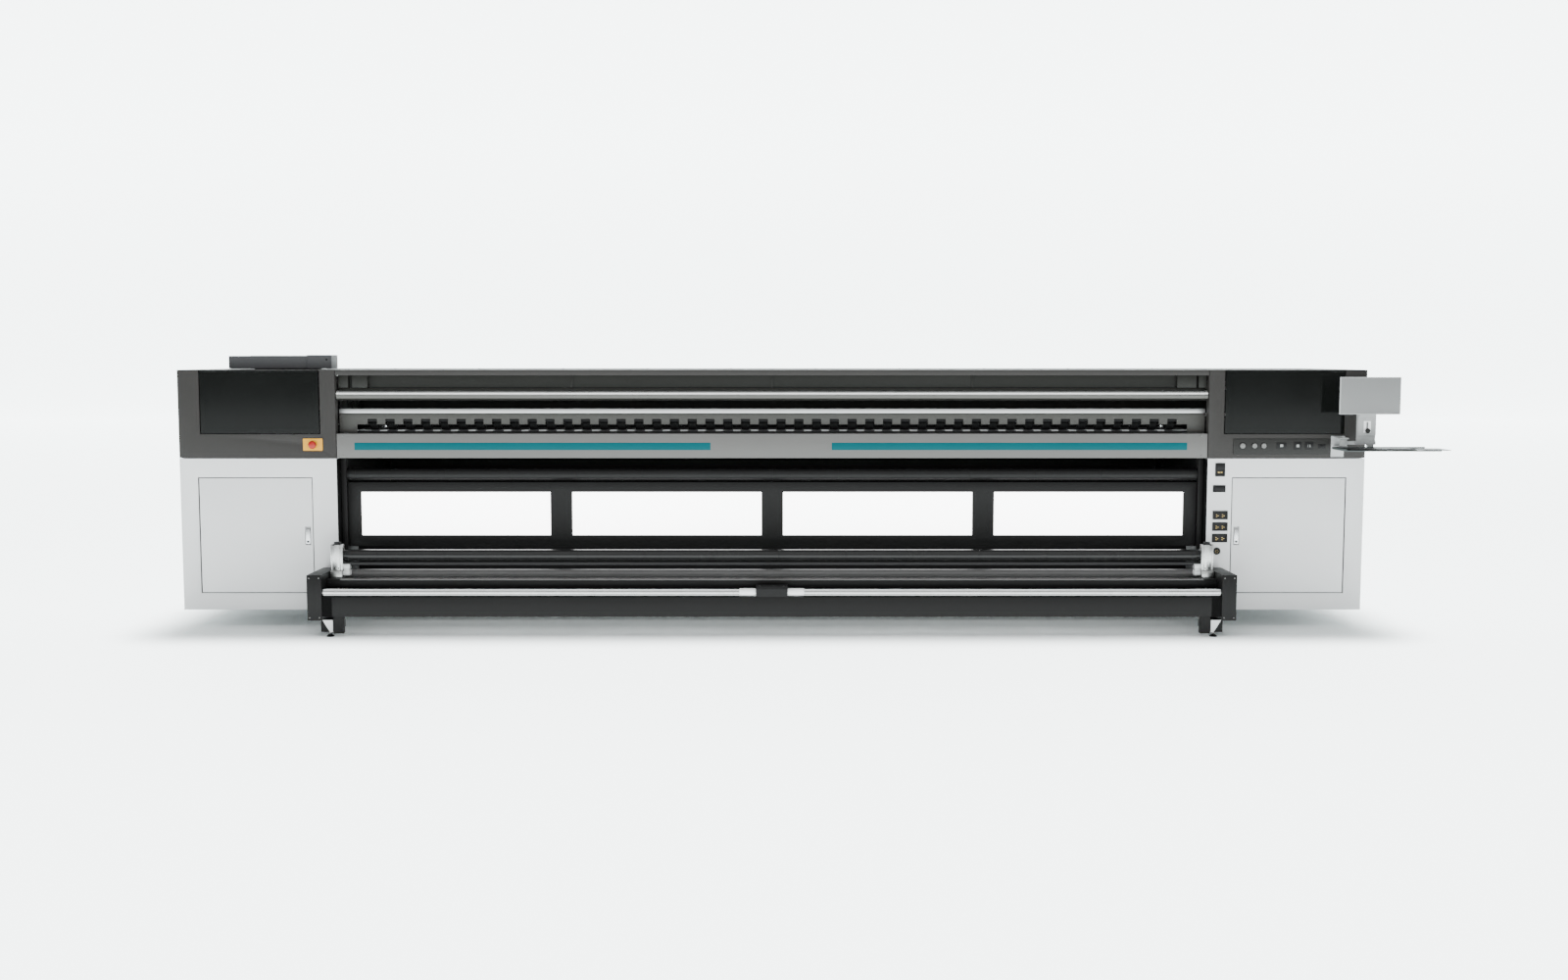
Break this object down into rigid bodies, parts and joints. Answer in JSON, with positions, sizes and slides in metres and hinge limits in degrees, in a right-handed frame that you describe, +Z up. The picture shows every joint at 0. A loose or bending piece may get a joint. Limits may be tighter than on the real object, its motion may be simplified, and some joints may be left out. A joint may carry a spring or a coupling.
{
  "type": "roll-to-roll ultraviolet printer",
  "caption": "Wide roll-to-roll ultraviolet printer with end cabinets, moving print carriage, pinch roller row, backlit inspection box, front take-up unit and swing-out monitor.",
  "frame": {"origin": "centre of the bounding box at floor level", "axes": "+X along the machine to the right seen from the front, +Y to the back, +Z up"},
  "size_m": [7.562, 1.655, 1.66],
  "materials": {
    "cabinet_light": "textured powder coat, light grey",
    "head_dark": "textured powder coat, dark warm grey",
    "frame_black": "satin black paint",
    "beam_grey": "satin grey paint",
    "panel_grey": "satin warm grey paint",
    "silver": "satin anodised",
    "steel": "brushed",
    "rubber_black": "matt",
    "roller_black": "smooth black sleeve",
    "belt": "toothed belt",
    "teal": "vinyl stripe",
    "diffuser": "white diffuser",
    "tinted": "tinted acrylic",
    "plastic_black": "fine grain",
    "plastic_dark": "fine grain",
    "white_plastic": "turned white plastic",
    "yellow": "gloss yellow",
    "red": "gloss red",
    "button_pale": "gloss",
    "monitor_shell": "pale grey moulding",
    "tank": "translucent tank",
    "tray": "satin"
  },
  "bodies": {
    "root": {"left_lower_cabinet": "cabinet_light", "right_lower_cabinet": "cabinet_light", "left_head_shell": "head_dark", "right_head_shell": "head_dark", "base_frame": "frame_black", "gantry_beam": "beam_grey", "linear_rails": "steel", "drive_belt": "belt", "top_covers": "head_dark", "platen": "frame_black", "pinch_beam": "beam_grey", "silver_rails": "silver", "front_panel": "panel_grey", "teal_stripes": "teal", "inner_shield": "frame_black", "light_box_housing": "frame_black", "light_diffusers": "diffuser", "takeup_end_boxes": "frame_black", "takeup_frame": "frame_black", "levelling_feet": "steel", "roller_posts": "silver", "centre_bearing": "plastic_black", "estop_plate": "yellow", "control_panel": "plastic_dark", "power_inlets": "plastic_black", "monitor_wall_bracket": "monitor_shell", "door_pivot_pins": "steel", "ink_tanks": "tank", "electronics_box": "cabinet_light", "carriage_motor": "plastic_black"},
    "carriage": {"carriage_frame": "silver", "carriage_hood": "head_dark", "print_heads": "plastic_black", "uv_lamps": "plastic_black"},
    "drive_pulley": {"belt_drive_pulley": "steel"},
    "idler_pulley": {"belt_idler_pulley": "steel"},
    "feed_drive": {"drive_roller": "silver"},
    "pinch_lifter": {"pinch_arms": "plastic_black"},
    "pinch_roller": {"pinch_wheels": "rubber_black"},
    "front_idler": {"front_idler_roller": "roller_black"},
    "tension": {"tension_roller": "roller_black"},
    "winder": {"takeup_roller": "roller_black"},
    "winding_shaft": {"takeup_shaft": "silver", "shaft_collars": "white_plastic"},
    "unwinder": {"feed_shaft": "silver"},
    "door_left": {"left_door": "cabinet_light"},
    "door_right": {"right_door": "cabinet_light"},
    "latch_left": {"left_latch": "steel"},
    "latch_right": {"right_latch": "steel"},
    "cover_left": {"left_window": "tinted"},
    "cover_right": {"right_window": "tinted"},
    "estop": {"estop_button": "red"},
    "start": {"start_button": "button_pale"},
    "stop": {"stop_button": "button_pale"},
    "rocker": {"power_rocker": "plastic_black"},
    "arm": {"monitor_arm": "monitor_shell", "keyboard_tray": "tray"},
    "screen": {"monitor": "monitor_shell"},
    "knob": {"monitor_knob": "plastic_black"},
    "caps": {"capping_station": "steel"}
  },
  "joints": [
    {"name": "carriage_travel", "type": "slide", "parent": "root", "child": "carriage", "axis": [1, 0, 0], "range_m": [0, 5.9]},
    {"name": "drive_pulley_spin", "type": "hinge", "parent": "root", "child": "drive_pulley", "pos_m": [3.189, 0.2315, 1.361], "axis": [0, 1, 0], "continuous": true},
    {"name": "idler_pulley_spin", "type": "hinge", "parent": "root", "child": "idler_pulley", "pos_m": [-3.571, 0.2315, 1.361], "axis": [0, 1, 0], "continuous": true},
    {"name": "drive_roller_spin", "type": "hinge", "parent": "root", "child": "feed_drive", "pos_m": [-0.191, -0.2925, 1.1625], "axis": [1, 0, 0], "continuous": true},
    {"name": "pinch_lift", "type": "hinge", "parent": "root", "child": "pinch_lifter", "pos_m": [-0.191, -0.3525, 1.262], "axis": [1, 0, 0], "range_deg": [0, 5]},
    {"name": "pinch_spin", "type": "hinge", "parent": "pinch_lifter", "child": "pinch_roller", "pos_m": [-0.191, -0.2925, 1.236], "axis": [1, 0, 0], "continuous": true},
    {"name": "front_idler_spin", "type": "hinge", "parent": "root", "child": "front_idler", "pos_m": [-0.191, -0.3425, 0.931], "axis": [1, 0, 0], "continuous": true},
    {"name": "tension_spin", "type": "hinge", "parent": "root", "child": "tension", "pos_m": [-0.191, -0.5925, 0.465], "axis": [1, 0, 0], "continuous": true},
    {"name": "takeup_roller_spin", "type": "hinge", "parent": "root", "child": "winder", "pos_m": [-0.191, -0.5425, 0.35], "axis": [1, 0, 0], "continuous": true},
    {"name": "takeup_shaft_spin", "type": "hinge", "parent": "root", "child": "winding_shaft", "pos_m": [-0.191, -0.7675, 0.267], "axis": [1, 0, 0], "continuous": true},
    {"name": "feed_shaft_spin", "type": "hinge", "parent": "root", "child": "unwinder", "pos_m": [-0.191, 0.7575, 0.42], "axis": [1, 0, 0], "continuous": true},
    {"name": "left_door_swing", "type": "hinge", "parent": "root", "child": "door_left", "pos_m": [-3.656, -0.4325, 0.566], "axis": [0, 0, 1], "range_deg": [-110, 0]},
    {"name": "right_door_swing", "type": "hinge", "parent": "root", "child": "door_right", "pos_m": [3.274, -0.4325, 0.566], "axis": [0, 0, 1], "range_deg": [0, 110]},
    {"name": "left_latch_pull", "type": "hinge", "parent": "door_left", "child": "latch_left", "pos_m": [-3.014, -0.4375, 0.602], "axis": [1, 0, 0], "range_deg": [-60, 0], "stiffness_Nm_per_rad": 0.2},
    {"name": "right_latch_pull", "type": "hinge", "parent": "door_right", "child": "latch_right", "pos_m": [2.632, -0.4375, 0.602], "axis": [1, 0, 0], "range_deg": [-60, 0], "stiffness_Nm_per_rad": 0.2},
    {"name": "left_cover_lift", "type": "hinge", "parent": "root", "child": "cover_left", "pos_m": [-3.306, -0.44, 1.562], "axis": [1, 0, 0], "range_deg": [-85, 0]},
    {"name": "right_cover_lift", "type": "hinge", "parent": "root", "child": "cover_right", "pos_m": [2.924, -0.44, 1.562], "axis": [1, 0, 0], "range_deg": [-14, 0]},
    {"name": "estop_press", "type": "slide", "parent": "root", "child": "estop", "axis": [0, 1, 0], "range_m": [0, 0.006]},
    {"name": "start_press", "type": "slide", "parent": "root", "child": "start", "axis": [0, 1, 0], "range_m": [0, 0.003], "stiffness_N_per_m": 250},
    {"name": "stop_press", "type": "slide", "parent": "root", "child": "stop", "axis": [0, 1, 0], "range_m": [0, 0.003], "stiffness_N_per_m": 250},
    {"name": "power_rock", "type": "hinge", "parent": "root", "child": "rocker", "pos_m": [2.521, -0.446, 0.851], "axis": [0, 0, 1], "range_deg": [0, 9]},
    {"name": "arm_swing", "type": "hinge", "parent": "root", "child": "arm", "pos_m": [3.229, -0.5475, 1.136], "axis": [0, 0, 1], "range_deg": [-60, 0]},
    {"name": "screen_height", "type": "slide", "parent": "arm", "child": "screen", "axis": [0, 0, 1], "range_m": [-0.045, 0.004]},
    {"name": "knob_turn", "type": "hinge", "parent": "arm", "child": "knob", "pos_m": [3.354, -0.5975, 1.21], "axis": [0, 1, 0], "range_deg": [0, 270]},
    {"name": "caps_raise", "type": "slide", "parent": "root", "child": "caps", "axis": [0, 0, 1], "range_m": [0, 0.012]}
  ],
  "couplings": [
    {"joint": "drive_pulley_spin", "follows": "carriage_travel", "rad_per_m": 25},
    {"joint": "idler_pulley_spin", "follows": "carriage_travel", "rad_per_m": 25},
    {"joint": "pinch_spin", "follows": "drive_roller_spin", "ratio": -1.2121},
    {"joint": "front_idler_spin", "follows": "drive_roller_spin", "ratio": 1.1111},
    {"joint": "tension_spin", "follows": "drive_roller_spin", "ratio": -1.1765}
  ]
}
